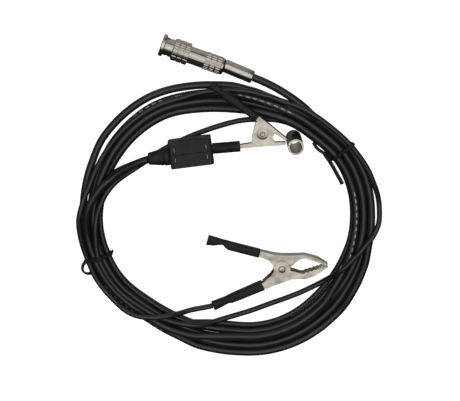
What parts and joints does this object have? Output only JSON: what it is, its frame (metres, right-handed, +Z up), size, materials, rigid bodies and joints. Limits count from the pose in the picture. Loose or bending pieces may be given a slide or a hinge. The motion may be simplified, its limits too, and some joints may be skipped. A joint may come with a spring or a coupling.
{
  "type": "oscilloscope probe",
  "caption": "Clip-on pick-up probe: bayonet coaxial plug, coiled cable, divider housing, spring clip with a split tube electrode, and a ground lead with a crocodile clip.",
  "frame": {"origin": "centre of the footprint of the housing and the pick-up clip, on the surface they lie on", "axes": "+X from the housing towards the pick-up tube, +Z up from the table, along the tube"},
  "size_m": [0.1966, 0.218, 0.033],
  "materials": {
    "cable_jacket": "satin black cable jacket",
    "tie_plastic": "black plastic over wire",
    "plug_nickel": "nickel plate",
    "white_insulator": "white plastic",
    "contact_brass": "plated contact",
    "gasket_rubber": "soft red-brown rubber",
    "spring_steel": "spring steel",
    "housing_plastic": "dark grey moulded plastic",
    "label_area": "rough grey",
    "latch_plastic": "pale grey plastic",
    "boot_rubber": "satin black",
    "board": "green laminate",
    "capacitor_ceramic": "orange-brown coating",
    "capacitor_film": "yellow",
    "resistor_body": "beige lacquer",
    "wire_insulation": "red",
    "sleeve_vinyl": "soft black vinyl",
    "clip_nickel": "nickel plate",
    "electrode_metal": "dull nickel plate",
    "electrode_insulation": "glossy black"
  },
  "bodies": {
    "root": {"coax_coil": "cable_jacket", "coax_plug_tail": "cable_jacket", "coax_probe_tail": "cable_jacket", "ground_lead_start": "cable_jacket", "ground_lead_under_housing": "cable_jacket", "ground_lead_crossing": "cable_jacket", "ground_lead_to_clip": "cable_jacket", "twist_tie_left": "tie_plastic", "twist_tie_right": "tie_plastic", "bnc_body": "plug_nickel", "bnc_insulator": "white_insulator", "bnc_center_pin": "contact_brass", "bnc_gasket": "gasket_rubber", "bnc_wave_washer": "spring_steel", "bnc_crimp_ferrule": "contact_brass", "bnc_clamp_nut": "plug_nickel", "bnc_tail_sleeve": "plug_nickel", "housing_rear_shell": "housing_plastic", "housing_front_shell": "housing_plastic", "housing_blank_label": "label_area", "latch_tab_1": "latch_plastic", "latch_tab_2": "latch_plastic", "latch_tab_3": "latch_plastic", "latch_tab_4": "latch_plastic", "strain_relief_boot": "boot_rubber", "circuit_board": "board", "series_capacitor": "capacitor_ceramic", "divider_capacitor": "capacitor_film", "bleed_resistor": "resistor_body", "signal_wire": "wire_insulation", "coax_core_wire": "contact_brass", "pickup_lower_sleeve": "sleeve_vinyl", "pickup_lower_arm": "clip_nickel", "pickup_pivot_rivet": "clip_nickel", "pickup_spring_turns": "spring_steel", "pickup_lower_electrode": "electrode_metal", "pickup_lower_insulator": "electrode_insulation", "ground_lower_arm": "clip_nickel", "ground_pivot_rivet": "clip_nickel", "ground_spring_turns": "spring_steel", "ground_lower_sleeve": "sleeve_vinyl"},
    "pickup_lever": {"pickup_upper_arm": "clip_nickel", "pickup_upper_sleeve": "sleeve_vinyl", "pickup_spring_leg": "spring_steel", "pickup_upper_electrode": "electrode_metal", "pickup_upper_insulator": "electrode_insulation"},
    "ground_lever": {"ground_upper_arm": "clip_nickel", "ground_upper_sleeve": "sleeve_vinyl", "ground_spring_leg": "spring_steel"},
    "plug_washer": {"bnc_thrust_washer": "spring_steel"},
    "plug_sleeve": {"bnc_coupling_sleeve": "plug_nickel"}
  },
  "joints": [
    {"name": "pickup_lever_hinge", "type": "hinge", "parent": "root", "child": "pickup_lever", "pos_m": [0.02379, -0.00524, 0.0165], "axis": [0, 0, 1], "range_deg": [0, 20], "stiffness_Nm_per_rad": 0.12, "springref_deg": -22.92},
    {"name": "ground_lever_hinge", "type": "hinge", "parent": "root", "child": "ground_lever", "pos_m": [0.03729, -0.09724, 0.0055], "axis": [0, 0, 1], "range_deg": [0, 35], "stiffness_Nm_per_rad": 0.12, "springref_deg": -22.92},
    {"name": "plug_washer_slide", "type": "slide", "parent": "root", "child": "plug_washer", "axis": [-0.9409, 0.3387, 0], "range_m": [0, 0.001], "stiffness_N_per_m": 4000, "springref_m": -0.0005},
    {"name": "plug_sleeve_spin", "type": "hinge", "parent": "plug_washer", "child": "plug_sleeve", "pos_m": [-0.03981, 0.04976, 0.0073], "axis": [0.9409, -0.3387, 0], "continuous": true}
  ]
}
